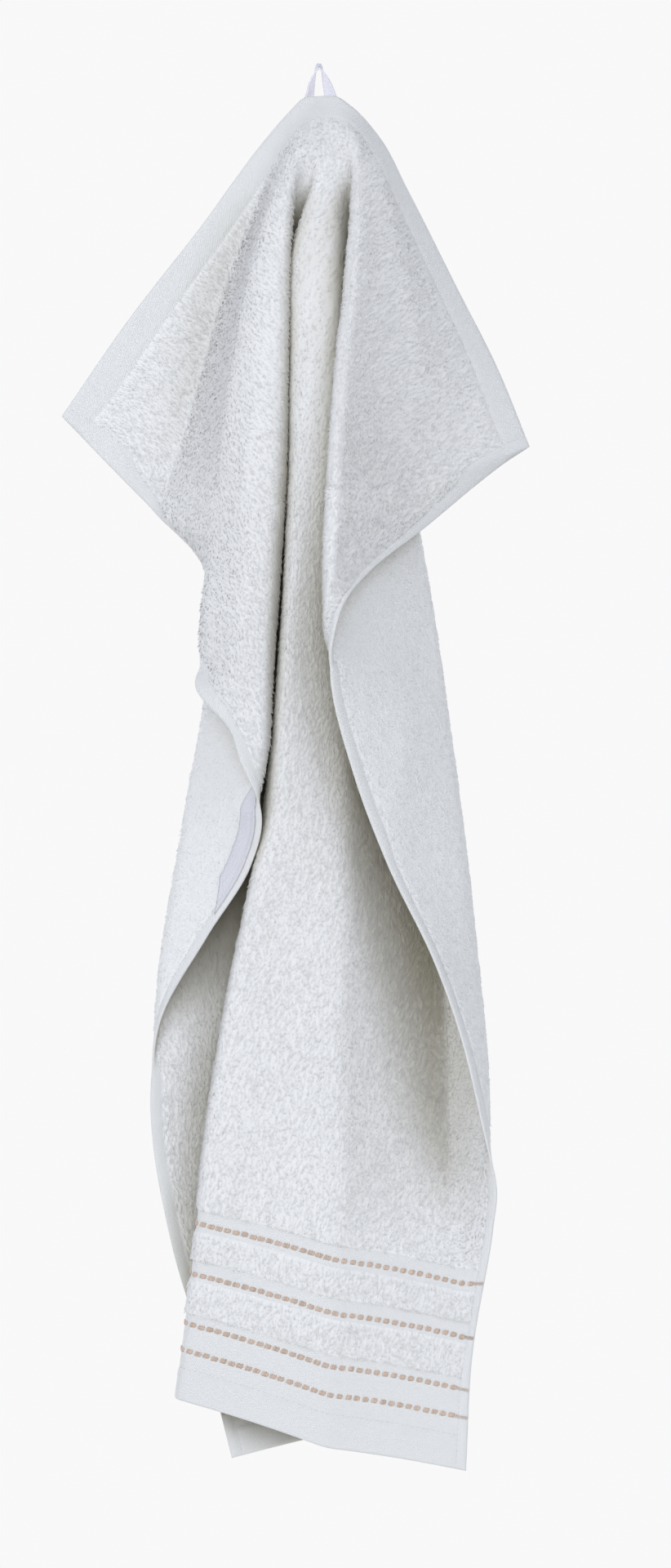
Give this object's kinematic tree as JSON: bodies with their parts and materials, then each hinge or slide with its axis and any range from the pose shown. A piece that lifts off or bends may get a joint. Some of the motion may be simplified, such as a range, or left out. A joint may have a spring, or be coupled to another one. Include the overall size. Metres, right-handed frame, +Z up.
{
  "type": "hand towel with hanging loop",
  "caption": "Terry hand towel that hangs in loose pleats from a tape loop at the middle of its plain header edge, with banded lower end and side hems.",
  "frame": {"origin": "inner top of the tape loop, where a hook holds the towel", "axes": "+Z up, +X to the right of someone who looks at the pile side, +Y away from them, to the reverse"},
  "size_m": [0.287, 0.1179, 0.8591],
  "materials": {
    "terry_cloth": "looped cotton pile",
    "label_weave": "fine twill weave",
    "loop_tape": "woven tape"
  },
  "bodies": {
    "root": {"towel": "terry_cloth", "woven_label": "label_weave", "hanging_loop": "loop_tape"}
  },
  "joints": []
}
